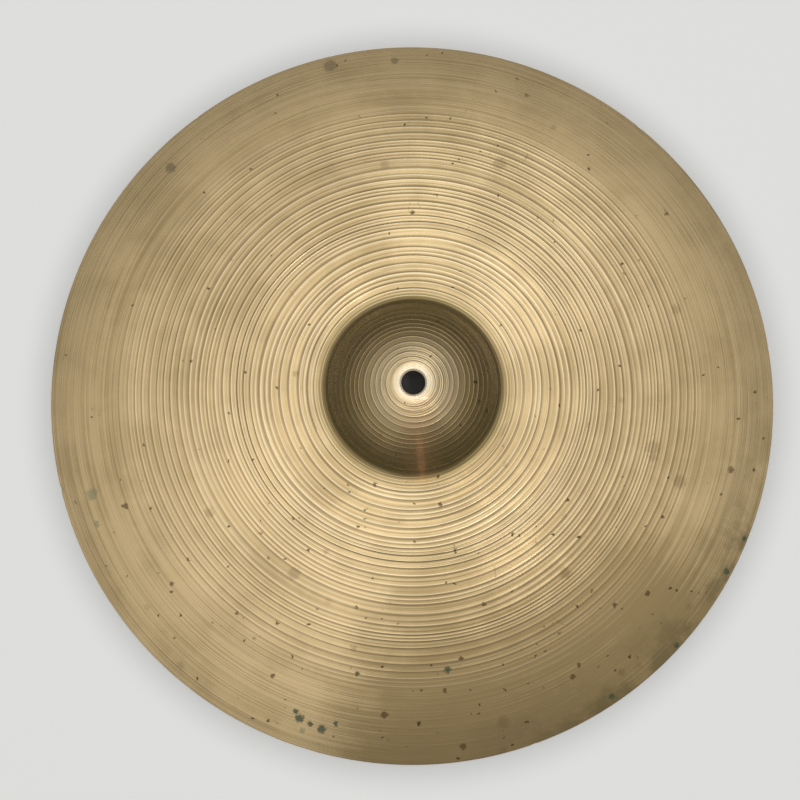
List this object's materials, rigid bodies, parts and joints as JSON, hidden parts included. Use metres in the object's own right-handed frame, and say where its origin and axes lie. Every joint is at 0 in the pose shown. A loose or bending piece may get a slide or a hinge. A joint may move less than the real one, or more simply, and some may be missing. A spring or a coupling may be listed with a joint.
{
  "type": "crash cymbal",
  "caption": "Round lathed bronze crash cymbal with a raised bell, a gently curved bow and a central mounting hole.",
  "frame": {"origin": "on the axis of the mounting hole, in the plane that the rim rests on", "axes": "+Z along the mounting hole, out of the top of the bell; the cymbal is round about Z"},
  "size_m": [0.4064, 0.4064, 0.0435],
  "materials": {
    "bronze": "lathed satin bronze with tonal grooves, brown and green tarnish"
  },
  "bodies": {
    "root": {"cymbal_plate": "bronze"}
  },
  "joints": []
}
